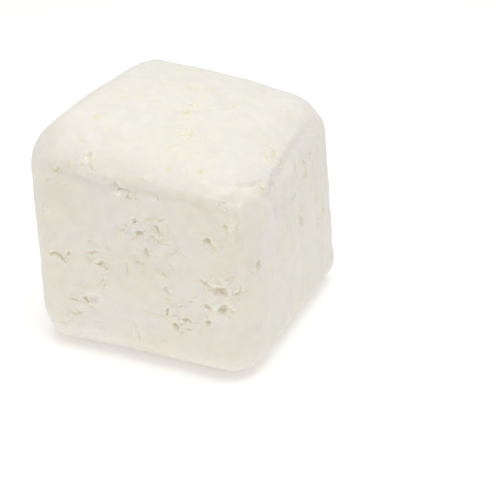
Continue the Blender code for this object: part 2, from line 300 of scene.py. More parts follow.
# Front face: across is X, up is Z
FRONT_GAPS = (
    # upper middle cluster
    Mark(4.5, 63.0, 4.6, 2.8, 2.0, 10), Mark(12.0, 66.0, 5.2, 2.6, 2.0, -60),
    Mark(3.0, 67.5, 3.8, 2.2, 1.5, 70), Mark(-2.5, 63.0, 4.0, 1.9, 1, 75),
    Mark(9.0, 70.0, 7.0, 1.6, 0.7, 28), Mark(14.5, 61.5, 5.5, 1.5, 0.8, 25, 0.6),
    Mark(17.0, 68.0, 6.5, 1.5, 0.6, -72), Mark(7.5, 55.5, 5.6, 3.2, 1.7, -78),
    Mark(4.5, 49.5, 4.8, 2.2, 0.8, 0, 0.5), Mark(20.0, 58.0, 5.0, 1.4, 0.7, 65),
    # left cluster
    Mark(-33.0, 43.0, 9.5, 2.4, 2.0, -16, 1.4), Mark(-27.5, 46.5, 3.2, 1.9, 1, 25),
    Mark(-16.0, 50.0, 6.6, 1.5, 0.8, 12), Mark(-13.0, 46.0, 4.0, 2.8, 1.7, 15),
    Mark(-11.0, 44.0, 2.8, 2.0, 0.9, -60), Mark(-12.5, 37.5, 7.5, 1.6, 0.8, 38),
    Mark(-17.5, 54.0, 2.8, 1.6, 0.7, 45), Mark(-9.0, 53.0, 3.6, 1.5, 0.7, -80),
    # lower left
    Mark(-20.0, 27.5, 4.4, 2.2, 1.5, -80), Mark(-26.0, 25.5, 7.0, 1.5, 0.8, -8),
    Mark(-24.5, 20.0, 6.5, 1.5, 0.8, 25), Mark(-32.0, 12.5, 2.8, 1.8, 0.7, -40),
    # right of the middle
    Mark(33.0, 65.5, 5.0, 3.0, 1.8, -12), Mark(36.5, 63.0, 3.8, 1.4, 0.7, -45),
    Mark(40.5, 72.5, 4.4, 1.8, 1, -80), Mark(14.5, 47.0, 6.0, 1.6, 0.8, -28),
    # lower right
    Mark(31.5, 47.0, 6.5, 1.7, 1, -24), Mark(37.5, 44.0, 6.5, 4.4, 2.6, -12),
    Mark(39.0, 36.0, 6.5, 4.8, 2.8, 62), Mark(33.0, 36.0, 5.0, 2.0, 1, -18),
    Mark(32.5, 28.5, 3.6, 3.0, 1.9, 0), Mark(15.5, 30.0, 5.0, 2.0, 1.6, 60),
    Mark(18.5, 24.0, 5.0, 3.0, 2.1, -75), Mark(23.5, 27.5, 4.8, 2.3, 1.7, -12),
    Mark(24.0, 23.5, 2.4, 2.0, 1, 0), Mark(21.5, 34.0, 3.2, 1.6, 0.8, 25),
    # top edge and the lip
    Mark(-32.5, 81.5, 5.4, 2.0, 0.8, 5), Mark(-26.5, 84.0, 4.4, 1.5, 0.6, -58),
    Mark(-18.5, 87.5, 3.0, 2.4, 1, -50), Mark(0.5, 77.0, 3.0, 2.2, 1, 30),
    Mark(12.5, 79.0, 4.0, 1.4, 0.7, -72), Mark(45.0, 43.5, 3.0, 2.0, 1, 0),
)
FRONT_CRACKS = (
    Mark(2.0, 59.0, 3.6, 0.9, 0.6, 20), Mark(14.5, 71.0, 4.0, 0.9, 0.7, 50),
    Mark(15.0, 40.0, 2.0, 1.2, 0.8), Mark(16.0, 36.5, 4.0, 1.0, 0.6, -20),
    Mark(26.0, 37.0, 2.0, 1.2, 0.7), Mark(-20.5, 33.5, 8.0, 1.0, 0.5, 22),
    Mark(-30.0, 77.5, 2.0, 1.6, 0.8, -50), Mark(-37.0, 76.0, 3.0, 1.4, 0.7, 45),
    Mark(-16.5, 85.0, 4.0, 1.2, 0.8, -60), Mark(-39.0, 63.5, 4.0, 1.2, 0.8, 50),
    Mark(-35.5, 63.5, 3.0, 1.0, 0.6, 70), Mark(40.5, 50.0, 1.8, 1.4, 0.9),
    Mark(12.5, 15.5, 4.0, 1.0, 0.5, 10), Mark(39.0, 81.0, 1.5, 1.2, 0.9),
    Mark(-3.5, 79.5, 3.0, 1.0, 0.8, 30), Mark(45.0, 72.0, 8.0, 1.0, 0.5, -88),
    Mark(18.5, 56.5, 3.0, 1.0, 0.7, 10), Mark(9.0, 27.5, 9.0, 0.9, 0.4),
)
FRONT_SEAMS = (
    # upper middle cluster
    ((2.6, 65.6), (3.3, 67.5), (7.3, 68.0), (10.2, 69.7), (12.7, 71.7)),
    ((-0.7, 61.6), (2.5, 60.9), (4.4, 62.4), (7.3, 64.5), (10.1, 66.2), (12.3, 65.6), (13.3, 64.0)),
    ((12.2, 61.6), (13.5, 60.4), (15.7, 61.6), (17.1, 62.7)), ((17.3, 69.1), (17.5, 65.6)),
    ((6.0, 56.9), (6.6, 54.9), (6.2, 52.6)), ((15.2, 56.0), (18.3, 56.4), (20.2, 57.9), (20.9, 60.2)),
    ((2.5, 49.8), (4.6, 48.5), (6.1, 50.3)), ((11.7, 47.9), (14.1, 46.5), (16.6, 46.0)),
    # left and lower left
    ((-18.4, 53.1), (-16.4, 55.1)), ((-19.0, 48.9), (-16.3, 50.3), (-13.7, 50.2)),
    ((-14.6, 34.8), (-12.9, 37.1), (-10.2, 38.9)), ((-27.3, 27.2), (-25.9, 25.2), (-22.8, 26.0)),
    ((-26.4, 18.7), (-23.2, 19.9), (-21.6, 21.6)),
    # right and lower right
    ((28.9, 48.3), (31.9, 45.9), (35.3, 45.2)), ((5.0, 28.2), (8.6, 27.5), (13.6, 27.9)),
    ((14.6, 40.6), (16.3, 38.7), (15.8, 35.5)), ((31.0, 65.6), (33.8, 66.2), (35.1, 63.6), (35.8, 62.3)),
    ((43.2, 77.0), (43.9, 72.0), (44.0, 66.5)), ((46.1, 70.6), (45.7, 62.7)),
)
FRONT_HOLLOWS = (
    # the dented upper left, and a hollow at the lower left
    Mark(-35.0, 74.5, 26.0, 14.0, 1.0, 35, 0.0, 1.0), Mark(-16.5, 29.0, 8.0, 6.0, 0.9, 10, 0.0, 0.9),
    # two upright scratches
    Mark(-1.5, 45.5, 9.5, 2.2, 0.7, -86, 0.0, 0.9), Mark(2.0, 14.5, 8.0, 2.0, 0.7, -86, 0.0, 0.9),
)
FRONT_RISES = (
    # curds that stand proud
    Mark(-4.5, 77.5, 5.0, 5.0, -0.9, 80, 0.0, 0.9), Mark(43.0, 73.5, 8.0, 3.4, -0.7, 70, 0.0, 0.9),
    Mark(0.0, 18.0, 9.0, 2.0, -0.7, 86, 0.0, 0.9), Mark(-5.0, 49.0, 4.6, 3.4, -0.5, 0, 0.0, 0.9),
    Mark(35.0, 50.0, 4.0, 2.0, -0.6, 80, 0.0, 0.9), Mark(-36.0, 63.5, 9.0, 3.4, -0.6, 38, 0.0, 0.9),
)
FLAKES = (
    Mark(-8.5, 65.0, 2.6, 1.2, -0.4, 0, 0.0, 0.9), Mark(-16.5, 17.0, 2.6, 1.6, -0.6, 0, 0.0, 0.9),
)
LIP_CURDS = (
    # curds that stand proud along the lip, and dents between them
    Mark(30.0, 85.5, 7.0, 3.0, -0.45, -5, 0.0, 0.9), Mark(39.0, 84.0, 6.0, 4.0, -0.5, 10, 0.0, 0.9),
    Mark(44.5, 79.5, 5.0, 3.0, -0.5, -70, 0.0, 0.9), Mark(-20.0, 86.0, 6.0, 3.0, -0.45, 10, 0.0, 0.9),
    Mark(8.0, 84.5, 6.0, 2.6, -0.35, 15, 0.0, 0.9), Mark(22.0, 80.5, 5.0, 2.4, 0.45, 20, 0.0, 0.9),
    Mark(-27.0, 83.0, 5.0, 2.4, 0.45, -20, 0.0, 0.9), Mark(-10.5, 82.0, 4.0, 2.2, 0.45, 30, 0.0, 0.9),
)

# Top face: across is X, up is Y
TOP_GAPS = (
    Mark(-2.0, 8.5, 11.0, 2.0, 1.0, -26, 0.8), Mark(4.0, 11.5, 7.5, 1.5, 0.9, -78),
    Mark(6.0, -5.5, 4.0, 2.4, 1.5, -68), Mark(5.5, -11.5, 6.0, 3.6, 1.1, -40),
    Mark(19.5, 5.5, 5.0, 2.0, 1.0, 72), Mark(12.0, -27.0, 5.0, 1.5, 1.0, 28),
    Mark(14.0, -24.0, 5.2, 1.5, 1.0, -70), Mark(-24.0, -30.5, 4.2, 3.0, 0.9, 20),
    Mark(-21.0, -12.0, 3.8, 2.0, 0.8, 60), Mark(-16.0, 8.0, 5.4, 1.4, 0.7, -62),
    Mark(43.0, -12.0, 3.4, 2.0, 1.1, -80), Mark(42.5, -18.0, 3.4, 1.8, 1.0, 0),
    Mark(27.0, -43.0, 2.8, 2.0, 0.9, 0), Mark(-24.0, -42.5, 5.4, 1.7, 0.8, -5),
)
TOP_CRACKS = (
    Mark(12.5, -4.5, 12.0, 0.8, 0.5, 5, -0.8), Mark(19.0, 1.0, 8.0, 0.8, 0.5, 60),
    Mark(5.0, -18.5, 3.0, 1.4, 0.5), Mark(11.5, -36.5, 4.0, 1.6, 0.6, 35),
    Mark(-15.5, -10.5, 3.0, 1.8, 0.7, -10), Mark(-13.5, -5.5, 4.0, 0.8, 0.4, 70),
    Mark(-14.5, -35.5, 3.5, 1.4, 0.5, 10), Mark(38.0, -6.0, 2.0, 1.2, 0.8),
    Mark(14.0, -45.0, 3.0, 1.4, 0.6, 40), Mark(19.5, -37.5, 5.0, 0.9, 0.3, -40),
)
TOP_SEAMS = (
    ((-8.1, 6.7), (-3.5, 8.4), (0.9, 6.7), (3.4, 7.4), (3.4, 12.5), (3.2, 15.0)),
    ((5.5, -3.2), (9.5, -5.3), (12.8, -3.8), (17.5, -0.9), (19.2, 5.0), (19.6, 10.0)),
    ((8.7, -28.1), (12.2, -26.4), (13.5, -22.9), (12.3, -20.4)),
    ((10.0, -39.0), (11.2, -35.8), (13.5, -33.0)),
)

# Right face: across is Y, up is Z
RIGHT_GAPS = (
    Mark(6.0, 73.0, 7.4, 2.8, 1.3, -80), Mark(-7.0, 66.5, 5.6, 2.4, 1.1, -80),
    Mark(-1.5, 53.0, 5.6, 3.8, 1.6, -70), Mark(27.0, 43.5, 3.8, 3.0, 1.1, -60),
    Mark(37.0, 37.5, 3.8, 2.6, 1.0, -60), Mark(-42.5, 54.0, 4.0, 2.0, 1.2, -86),
    Mark(22.0, 40.0, 3.4, 1.8, 0.8, -76), Mark(17.0, 57.0, 3.0, 1.6, 0.7, -60),
    Mark(-33.5, 81.5, 4.0, 2.0, 1.5, -10), Mark(-12.5, 82.5, 5.4, 1.6, 1.0, 5),
)
RIGHT_CRACKS = (
    Mark(-25.0, 81.0, 3.0, 1.0, 0.8), Mark(-15.5, 57.0, 4.0, 1.6, 0.6, -80),
    Mark(-20.5, 68.0, 3.0, 1.6, 0.5, -80), Mark(0.8, 51.5, 7.0, 4.2, 1.6, -62),
    Mark(6.3, 69.5, 5.0, 3.2, 1.3, -70), Mark(20.9, 53.0, 2.4, 1.6, 0.9),
    Mark(15.2, 75.0, 3.6, 1.6, 0.9, 30), Mark(-24.0, 80.4, 2.6, 1.6, 1.0, 40),
    Mark(28.3, 42.4, 4.6, 2.6, 1.0, -70), Mark(2.0, 57.5, 3.6, 1.4, 0.9, 50),
)
RIGHT_SEAMS = (
    # the fold down from the top edge, and a crack under it
    ((20.7, 77.0), (15.8, 75.4), (11.5, 75.6), (7.3, 73.2)),
    ((9.7, 63.4), (14.5, 58.9), (17.1, 56.2)),
)
RIGHT_CREASES = (
    # where the cloth lay in upright folds
    Crease(((0.1, 79.9), (-3.3, 76.1)), 2.6, 0.40), Crease(((-10.2, 82.6), (-13.0, 80.5)), 2.4, 0.40),
    Crease(((-16.3, 69.0), (-17.6, 62.5)), 2.4, 0.35), Crease(((-13.8, 61.5), (-12.7, 53.5)), 2.2, 0.35),
    Crease(((-36.0, 71.5), (-36.7, 65.0)), 2.4, 0.35), Crease(((-26.0, 80.7), (-31.0, 76.5)), 2.6, 0.35),
    Crease(((-1.8, 48.7), (-2.8, 42.5)), 2.2, 0.35), Crease(((-26.0, 71.5), (-27.4, 66.0)), 2.2, 0.35),
    Crease(((21.0, 72.0), (14.0, 67.5), (11.0, 61.0)), 2.8, 0.35),
    Crease(((33.0, 78.2), (27.6, 76.2), (21.7, 77.2)), 2.8, 0.35),
)


def srgb(code):
    """Linear colour for an sRGB hex code such as F2EEE4."""
    shares = [int(code[k:k + 2], 16) / 255.0 for k in (0, 2, 4)]
    return tuple(s / 12.92 if s <= 0.04045 else ((s + 0.055) / 1.055) ** 2.4 for s in shares)


def add(tree, kind, inputs=None, **settings):
    """Adds a node with its settings. Inputs are values, or sockets or nodes that are linked to."""
    node = tree.nodes.new(kind)
    for key, value in settings.items():
        setattr(node, key, value)
    for key, value in (inputs or {}).items():
        if isinstance(value, bpy.types.Node):
            value = value.outputs[0]
        if isinstance(value, bpy.types.NodeSocket):
            tree.links.new(value, node.inputs[key])
        else:
            node.inputs[key].default_value = value
    return node


def ramp(values):
    """Smooth step from 0 to 1."""
    t = np.clip(values, 0.0, 1.0)
    return t * t * (3.0 - 2.0 * t)


def facing(share, limits):
    """How much shows, from 0 to 1, where the surface faces a side by this share."""
    none, full = limits
    return ramp((share - none) / full)


def noise_field(places, spacing, channel, seed):
    """Smooth noise from about -1 to 1, with its swells about spacing apart."""
    start = CHANNEL_STEP * channel + (seed, 0.0, 0.0)
    return np.array([noise.noise(q) for q in (places / spacing + start).tolist()])


def corner_blend(unit, corner_values):
    """Values between the eight corners, at places in the cube from -1 to 1."""
    shares = np.prod((1.0 + unit[:, None, :] * CORNER_SIDES[None]) / 2.0, axis=2)
    return shares @ corner_values


def block_form(unit, size):
    """Places on the smooth block, and the way out of it, for places on the cube from -1 to 1."""
    half = size / 2.0
    radii = corner_blend(unit, CORNER_RADII)[:, None]
    core = np.clip(unit * half, radii - half, half - radii)
    out = unit * half - core
    out /= np.linalg.norm(out, axis=1, keepdims=True)
    places = core + radii * out
    share = places / half
    for axis in range(3):
        one, other = (k for k in range(3) if k != axis)
        dome = np.clip(1.0 - share[:, one] ** 2, 0, 1) * np.clip(1.0 - share[:, other] ** 2, 0, 1)
        for side, swell in zip((-1.0, 1.0), SWELL[axis]):
            places[:, axis] += side * swell * dome * np.clip(side * share[:, axis], 0, 1)
    places += corner_blend(share, CORNER_PUSH)
    places[:, 2] += half[2]
    return places, out


def mark_reach(spots, mark):
    """Distance from the mark's middle at spots (across, up), where 1 is its edge."""
    turn = math.radians(mark.turn)
    across = spots[:, 0] - mark.across
    up = spots[:, 1] - mark.up
    along = (across * math.cos(turn) + up * math.sin(turn)) * 2.0 / mark.length
    aside = up * math.cos(turn) - across * math.sin(turn) - mark.bend * (1.0 - along**2)
    return np.hypot(along, aside * 2.0 / mark.width)


def mark_depth(reach, mark):
    """Depth that one mark has at a reach, where 1 is its edge."""
    return mark.depth * ramp((1.0 - reach) / mark.wall)


def along_line(spots, line, width):
    """How near spots (across, up) are to a line of points: 1 on it, and 0 past half its width."""
    away = np.full(len(spots), np.inf)
    points = np.array(line, float)
    for start, end in zip(points[:-1], points[1:]):
        run = end - start
        share = np.clip((spots - start) @ run / (run @ run), 0.0, 1.0)
        away = np.minimum(away, np.linalg.norm(spots - start - share[:, None] * run, axis=1))
    return ramp(1.0 - away * 2.0 / width)


def lip_height(spots, lip, seed):
    """Height of the lip and, below its step, of the hollow at spots (across, up)."""
    across, up = np.array(lip.line, float).T
    above = spots[:, 1] - np.interp(spots[:, 0], across, up)
    step = ramp(0.5 + above / lip.step)
    rise = lip.rise * step * np.sqrt(ramp(1.0 - above / lip.reach))
    fall = lip.hollow_depth * (1.0 - step) * ramp(1.0 + above / lip.hollow_width)
    along = np.zeros((len(spots), 3))
    along[:, 0] = spots[:, 0]
    spacing, share = LIP_UNEVENNESS
    fullness = 1.0 + share * noise_field(along, spacing, LIP_CHANNEL, seed)
    fade = ramp((spots[:, 0] - across[0]) / LIP_FADE) * ramp((across[-1] - spots[:, 0]) / LIP_FADE)
    return (rise - fall) * fullness * fade


def scattered_marks(draw, low, high, count, deepest):
    """Marks at random places in the box from low to high, with one size for each draw."""
    marks = []
    for _ in range(count):
        length = draw.uniform(*SCATTERED_LENGTH)
        width = draw.uniform(*SCATTERED_WIDTH) * length
        spot = (draw.uniform(low[0], high[0]), draw.uniform(low[1], high[1]))
        depth = draw.uniform(*SCATTERED_DEPTH) * deepest
        marks.append(Mark(*spot, length, width, depth, draw.uniform(-90, 90)))
    return marks


def scattered_seams(draw, low, high, count):
    """Short bent lines at random places in the box from low to high."""
    lines = []
    for _ in range(count):
        across, up = draw.uniform(low[0], high[0]), draw.uniform(low[1], high[1])
        heading = draw.uniform(0, math.tau)
        line = [(across, up)]
        for _ in range(SEAM_STEPS):
            heading += draw.uniform(-SEAM_TURN, SEAM_TURN)
            step = draw.uniform(*SEAM_STEP)
            across += step * math.cos(heading)
            up += step * math.sin(heading)
            line.append((across, up))
        lines.append(tuple(line))
    return tuple(lines)


def beside(gap, angle, away):
    """The spot (across, up) in a direction from the middle of a gap."""
    return gap.across + away * math.cos(angle), gap.up + away * math.sin(angle)


def satellites(draw, gaps):
    """Tiny broken places round each gap."""
    marks = []
    for gap in gaps:
        for _ in range(SATELLITES):
            angle = draw.uniform(0, math.tau)
            away = draw.uniform(*SATELLITE_REACH) + gap.width / 2
            length = draw.uniform(*SATELLITE_LENGTH)
            marks.append(Mark(
                *beside(gap, angle, away), length, draw.uniform(*SATELLITE_WIDTH) * length,
                draw.uniform(*SATELLITE_DEPTH), draw.uniform(-90, 90), wall=SATELLITE_WALL,
            ))
    return tuple(marks)


def cracks(draw, gaps):
    """Thin cracks that run out of each gap."""
    marks = []
    for gap in gaps:
        for _ in range(CRACKS):
            angle = draw.uniform(0, math.tau)
            length = draw.uniform(*CRACK_LENGTH)
            away = gap.width / 2 + length * CRACK_MIDDLE
            marks.append(Mark(
                *beside(gap, angle, away), length, CRACK_WIDTH, draw.uniform(*CRACK_DEPTH),
                math.degrees(angle) + draw.uniform(-CRACK_TURN, CRACK_TURN),
                draw.uniform(-CRACK_BEND, CRACK_BEND), CRACK_WALL,
            ))
    return tuple(marks)


def pressed(marks):
    """The same marks, shallower and wider."""
    return tuple(
        mark._replace(depth=mark.depth * TOP_DEPTH, width=mark.width * TOP_WIDTH, wall=TOP_WALL)
        for mark in marks
    )


def face_marks(seed):
    """The six faces, with the marks and lines on each."""
    draw = random.Random(seed)
    left = scattered_marks(draw, *SIDE_MARKS_BOX, SIDE_MARKS, SIDE_MARK_DEPTH)
    back = scattered_marks(draw, *SIDE_MARKS_BOX, SIDE_MARKS, SIDE_MARK_DEPTH)
    under = [
        mark
        for mark in scattered_marks(draw, *UNDERSIDE_MARKS_BOX, UNDERSIDE_MARKS, UNDERSIDE_MARK_DEPTH)
        if math.hypot(mark.across, mark.up) > REST_SPOT_RADIUS
    ]
    front, top, right, left, back = (
        tuple(gaps) + satellites(draw, gaps) + cracks(draw, gaps)
        for gaps in (FRONT_GAPS, TOP_GAPS, RIGHT_GAPS, left, back)
    )
    left_seams = scattered_seams(draw, *SIDE_MARKS_BOX, SIDE_SEAMS)
    back_seams = scattered_seams(draw, *SIDE_MARKS_BOX, SIDE_SEAMS)
    return (
        Face(1, -1, (0, 2), SIDE_SHADE, front + FRONT_CRACKS,
             soft=FRONT_HOLLOWS + FRONT_RISES + FLAKES + LIP_CURDS,
             creases=FRONT_CREASES, seams=FRONT_SEAMS, lips=(FRONT_LIP,)),
        Face(2, 1, (0, 1), TOP_SHADE, pressed(top + TOP_CRACKS), creases=TOP_CREASES, seams=TOP_SEAMS),
        Face(0, 1, (1, 2), RIGHT_SHADE, right + RIGHT_CRACKS,
             creases=RIGHT_CREASES, seams=RIGHT_SEAMS, lips=(RIGHT_LIP,)),
        Face(0, -1, (1, 2), SIDE_SHADE, left, seams=left_seams),
        Face(1, 1, (0, 2), SIDE_SHADE, back, seams=back_seams),
        Face(2, -1, (0, 1), SIDE_SHADE, tuple(under)),
    )


def uneven_height(places, out, seed):
    """Height of the swells all over, and of the drag marks down the right side."""
    height = np.zeros(len(places))
    flat_below = 1.0 - facing(-out[:, 2], UNDERSIDE_FACING)
    for channel, (spacing, size) in enumerate(LUMPS):
        height += size * noise_field(places, spacing, channel, seed) * flat_below
    fine_share = flat_below * (1.0 - (1.0 - TOP_FINE_SHARE) * facing(out[:, 2], MARK_FACING))
    for step, (spacing, size) in enumerate(FINE_LUMPS):
        height += size * noise_field(places, spacing, FINE_CHANNEL + step, seed) * fine_share
    drawn = places * np.array((1.0, 1.0, DRAG_SPACING / DRAG_LENGTH))
    drawn[:, 1] += DRAG_BEND * np.clip((places[:, 2] - DRAG_BEND_FROM) / DRAG_BEND_OVER, 0, 2) ** 2
    drag = facing(out[:, 0], DRAG_FACING)
    return height + DRAG_HEIGHT * noise_field(drawn, DRAG_SPACING, DRAG_CHANNEL, seed) * drag


def ragged_shift(places, seed):
    """How far the outline of a mark strays at each place."""
    shift = np.zeros_like(places)
    for step, (spacing, size) in enumerate(JAGS + FINE_JAGS):
        for axis in range(3):
            shift[:, axis] += size * noise_field(places, spacing, JAG_CHANNEL + 3 * step + axis, seed)
    return shift


def gap_relief(face, spots, gap_depth):
    """What the gaps of a face give at spots: depth, nearness, height of the rim, and painted shade."""
    depth, close, rim, hollow_shade = np.zeros((4, len(spots)))
    for mark in face.gaps:
        reach = mark_reach(spots, mark)
        depth = np.maximum(depth, gap_depth * mark_depth(reach, mark))
        # painted shade: fuller in deeper gaps, and fading out past the gap's edge
        shade_strength = min(mark.depth / SHADE_DEPTH, 1.0)
        hollow_shade = np.maximum(hollow_shade, shade_strength * ramp((SHADE_EDGE - reach) / SHADE_SOFTNESS))
        if mark.depth > SHADE_DEPTH:
            away = np.hypot(spots[:, 0] - mark.across, spots[:, 1] - mark.up)
            close = np.maximum(close, np.exp(-((away / CRUMBLY_REACH) ** 2)))
            edge = ramp(1.0 - np.abs(reach - RIM_AT) / RIM_REACH)
            rim = np.maximum(rim, RIM_HEIGHT * mark.depth * edge)
    return depth, close, rim, hollow_shade


def relief(places, out, settings):
    """Height along the way out, and for each place its shares of gap, crumbly curd and painted shade."""
    seed = settings.seed
    height = uneven_height(places, out, seed)
    jags = ragged_shift(places, seed)
    rim_share = np.clip(0.5 + noise_field(places, RIM_SPACING, RIM_CHANNEL, seed), 0.0, 1.0)
    gap, crumbly, painted_shade = np.zeros((3, len(places)))
    for face in face_marks(seed):
        shown = facing(face.side * out[:, face.axis], MARK_FACING)
        near = np.flatnonzero(shown)
        spots = (places + jags)[near][:, face.spot_axes]
        soft_spots = (places + SOFT_JAG_SHARE * jags)[near][:, face.spot_axes]
        depth, close, rim, hollow_shade = gap_relief(face, spots, settings.gap_depth)
        gap[near] = np.maximum(gap[near], depth * shown[near] / settings.gap_depth)
        crumbly[near] = np.maximum(crumbly[near], close * shown[near])
        for line in face.seams:
            seam = along_line(soft_spots, line, SEAM_WIDTH)
            depth = np.maximum(depth, SEAM_DEPTH * seam)
            # painted shade along the seams as well
            hollow_shade = np.maximum(hollow_shade, SEAM_SHADE * seam)
        rim *= rim_share[near] * (1.0 - ramp(depth / RIM_CLEAR))
        for crease in face.creases:
            depth = np.maximum(depth, crease.depth * along_line(soft_spots, crease.line, crease.width))
        for mark in face.soft:
            depth += mark_depth(mark_reach(soft_spots, mark), mark)
        height[near] += (rim - depth) * shown[near]
        # painted shade of the gaps and seams, stronger on the top than on the sides
        painted_shade[near] = np.maximum(painted_shade[near], face.shade_strength * hollow_shade * shown[near])

        shown = facing(face.side * out[:, face.axis], LIP_FACING)
        near = np.flatnonzero(shown)
        soft_spots = (places + SOFT_JAG_SHARE * jags)[near][:, face.spot_axes]
        for lip in face.lips:
            height[near] += lip_height(soft_spots, lip, seed) * shown[near]
    crumbly *= 1.0 - facing(-out[:, 2], UNDERSIDE_FACING)
    return height, np.clip(gap / DEEP_GAP, 0, 1), crumbly, painted_shade


def new_tree(name, sizes, numbers):
    """A geometry nodes tree and its input node, with a mesh, these inputs and a material."""
    tree = bpy.data.node_groups.new(name, "GeometryNodeTree")
    sockets = tree.interface
    sockets.new_socket("Geometry", in_out="INPUT", socket_type="NodeSocketGeometry")
    for label, value in (sizes | numbers).items():
        kind = "NodeSocketInt" if isinstance(value, int) else "NodeSocketFloat"
        socket = sockets.new_socket(label, in_out="INPUT", socket_type=kind)
        if label in sizes:
            socket.subtype = "DISTANCE"
        socket.default_value = value
    sockets.new_socket("Material", in_out="INPUT", socket_type="NodeSocketMaterial")
    sockets.new_socket("Geometry", in_out="OUTPUT", socket_type="NodeSocketGeometry")
    return tree, add(tree, "NodeGroupInput").outputs


def curd_relief_tree():
    """Geometry nodes for the fine relief: seams between curds, crumbled curd, grain and drag marks."""
    tree, given = new_tree("curd relief", {
        "Curd Size": 0.0048, "Seam Width": 0.0008, "Seam Depth": 0.0004, "Curd Bulge": 0.0003,
        "Grain Size": 0.0016, "Grain Height": 0.00012, "Crumble Size": 0.0021,
        "Crumble Height": 0.0008, "Drag Spacing": 0.0023, "Drag Height": 0.00056,
    }, {"Seed": 3.0})
    place = add(tree, "GeometryNodeInputPosition")
    way_out = add(tree, "GeometryNodeInputNamedAttribute", {"Name": "way_out"}, data_type="FLOAT_VECTOR")
    gap, crumbly, painted_shade, free, drag = (
        add(tree, "GeometryNodeInputNamedAttribute", {"Name": name}, data_type="FLOAT")
        for name in ("gap", "crumbly", "painted_shade", "free", "drag")
    )

    # one noise for each pattern: the distance between its swells, its detail and a draw of its own
    stretched = add(tree, "ShaderNodeVectorMath", {0: place, 1: DRAG_STRETCH}, operation="MULTIPLY")
    warp, patches, *ripples = (
        add(tree, "ShaderNodeTexNoise", {
            "Vector": where, "Detail": detail, "Roughness": 0.5,
            "W": add(tree, "ShaderNodeMath", {0: given["Seed"], 1: draw}, operation="ADD"),
            "Scale": add(tree, "ShaderNodeMath", {0: 1.0, 1: spacing}, operation="DIVIDE"),
        }, noise_dimensions="4D")
        for where, spacing, detail, draw in (
            (place, CURD_WARP, 1.0, 11.0), (place, LOOSE_PATCH, 2.0, 21.0),
            (place, given["Grain Size"], 2.0, 31.0), (stretched, given["Drag Spacing"], 2.0, 41.0),
            (place, given["Crumble Size"], 2.0, 51.0),
        )
    )
    grain, drawn, broken = (
        add(tree, "ShaderNodeMath", {0: ripple, 1: NOISE_MIDDLE}, operation="SUBTRACT")
        for ripple in ripples
    )
    looser, round_gap = (
        add(tree, "ShaderNodeMath", {0: crumbly, 1: share}, operation="MULTIPLY")
        for share in (LOOSER_NEAR_GAP, BROKEN_NEAR_GAP)
    )

    # seams between curds, on a warped cell pattern, only where the curd is loose
    centred = add(tree, "ShaderNodeVectorMath", {
        0: warp.outputs["Color"], 1: (NOISE_MIDDLE,) * 3,
    }, operation="SUBTRACT")
    shift = add(tree, "ShaderNodeVectorMath", {"Vector": centred, "Scale": CURD_WARP}, operation="SCALE")
    bent = add(tree, "ShaderNodeVectorMath", {0: place, 1: shift}, operation="ADD")
    cells = add(tree, "ShaderNodeTexVoronoi", {
        "Vector": bent, "Randomness": 0.9,
        "Scale": add(tree, "ShaderNodeMath", {0: 1.0, 1: given["Curd Size"]}, operation="DIVIDE"),
    }, feature="DISTANCE_TO_EDGE", voronoi_dimensions="3D")
    edge = add(tree, "ShaderNodeMath", {
        0: cells.outputs["Distance"], 1: given["Curd Size"],
    }, operation="MULTIPLY")
    loose = add(tree, "ShaderNodeMapRange", {
        "Value": add(tree, "ShaderNodeMath", {0: patches, 1: looser}, operation="ADD"),
        "From Min": LOOSE_FROM, "From Max": LOOSE_TO,
    }, interpolation_type="SMOOTHSTEP")
    between = add(tree, "ShaderNodeMapRange", {
        "Value": edge, "From Min": 0.0, "To Min": 1.0, "To Max": 0.0,
        "From Max": add(tree, "ShaderNodeMath", {0: given["Seam Width"], 1: 0.5}, operation="MULTIPLY"),
    }, interpolation_type="SMOOTHSTEP")
    seam = add(tree, "ShaderNodeMath", {0: between, 1: loose}, operation="MULTIPLY")
    round_top = add(tree, "ShaderNodeMapRange", {
        "Value": edge, "From Min": 0.0, "From Max": CURD_BULGE_WIDTH,
    }, interpolation_type="SMOOTHSTEP")
    crumbled = add(tree, "ShaderNodeMath", {0: loose, 1: crumbly}, operation="MULTIPLY")
    bulge = add(tree, "ShaderNodeMath", {0: round_top, 1: crumbled}, operation="MULTIPLY")

    # broken curd in and round the gaps, and drag marks only where the cloth was drawn
    near_gap = add(tree, "ShaderNodeMath", {0: gap, 1: round_gap}, operation="MAXIMUM")
    broken = add(tree, "ShaderNodeMath", {0: near_gap, 1: broken}, operation="MULTIPLY")
    drawn = add(tree, "ShaderNodeMath", {0: drawn, 1: drag}, operation="MULTIPLY")

    height = 0.0
    for operation, pattern, size in (
        ("ADD", bulge, "Curd Bulge"), ("ADD", broken, "Crumble Height"), ("SUBTRACT", seam, "Seam Depth"),
        ("ADD", grain, "Grain Height"), ("ADD", drawn, "Drag Height"),
    ):
        term = add(tree, "ShaderNodeMath", {0: pattern, 1: given[size]}, operation="MULTIPLY")
        height = add(tree, "ShaderNodeMath", {0: height, 1: term}, operation=operation)
    height = add(tree, "ShaderNodeMath", {0: height, 1: free}, operation="MULTIPLY")

    moved = add(tree, "GeometryNodeSetPosition", {
        "Geometry": given["Geometry"],
        "Offset": add(tree, "ShaderNodeVectorMath", {
            "Vector": way_out, "Scale": height,
        }, operation="SCALE"),
    })
    # painted shade stored for the material: the gaps' own, and more along the loose curd's seams
    seam_shade = add(tree, "ShaderNodeMath", {0: seam, 1: LOOSE_SEAM_SHADE}, operation="MULTIPLY")
    kept = add(tree, "GeometryNodeStoreNamedAttribute", {
        "Geometry": moved, "Name": "painted_shade",
        "Value": add(tree, "ShaderNodeMath", {0: painted_shade, 1: seam_shade}, operation="MAXIMUM"),
    }, data_type="FLOAT", domain="POINT")
    real = add(tree, "GeometryNodeRealizeInstances", {"Geometry": kept})
    painted = add(tree, "GeometryNodeSetMaterial", {"Geometry": real, "Material": given["Material"]})
    add(tree, "NodeGroupOutput", {"Geometry": painted})
    return tree


